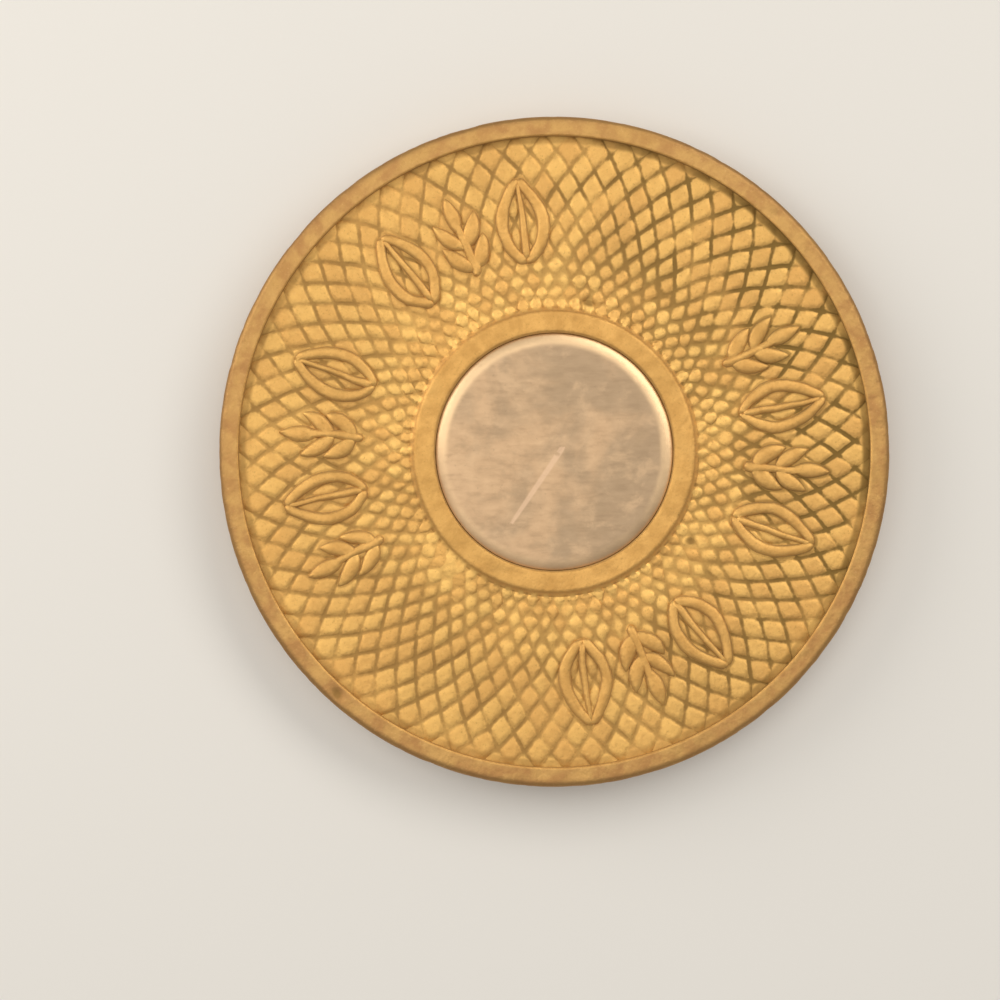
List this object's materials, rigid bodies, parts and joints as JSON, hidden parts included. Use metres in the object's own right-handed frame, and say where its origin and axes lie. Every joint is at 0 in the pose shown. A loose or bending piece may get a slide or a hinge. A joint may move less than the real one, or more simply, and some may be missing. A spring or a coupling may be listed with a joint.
{
  "type": "transit token",
  "caption": "Round two-metal fare token: a struck brass ring with a raised rim, ornaments and a collar, locked round a steel centre plug.",
  "frame": {"origin": "the token's centre: on its axis, at the middle of its thickness", "axes": "+Z along the token's axis, out of the front face; +Y through the middle of one of the two arcs of ornaments; +X completes the right-handed frame"},
  "size_m": [0.0222, 0.0222, 0.002],
  "materials": {
    "brass": "worn struck brass, warm yellow with brown tarnish in the low places",
    "steel": "dull, finely scratched pale steel with a cloudy warm-grey bloom"
  },
  "bodies": {
    "root": {"outer_ring": "brass", "centre_plug": "steel"}
  },
  "joints": []
}
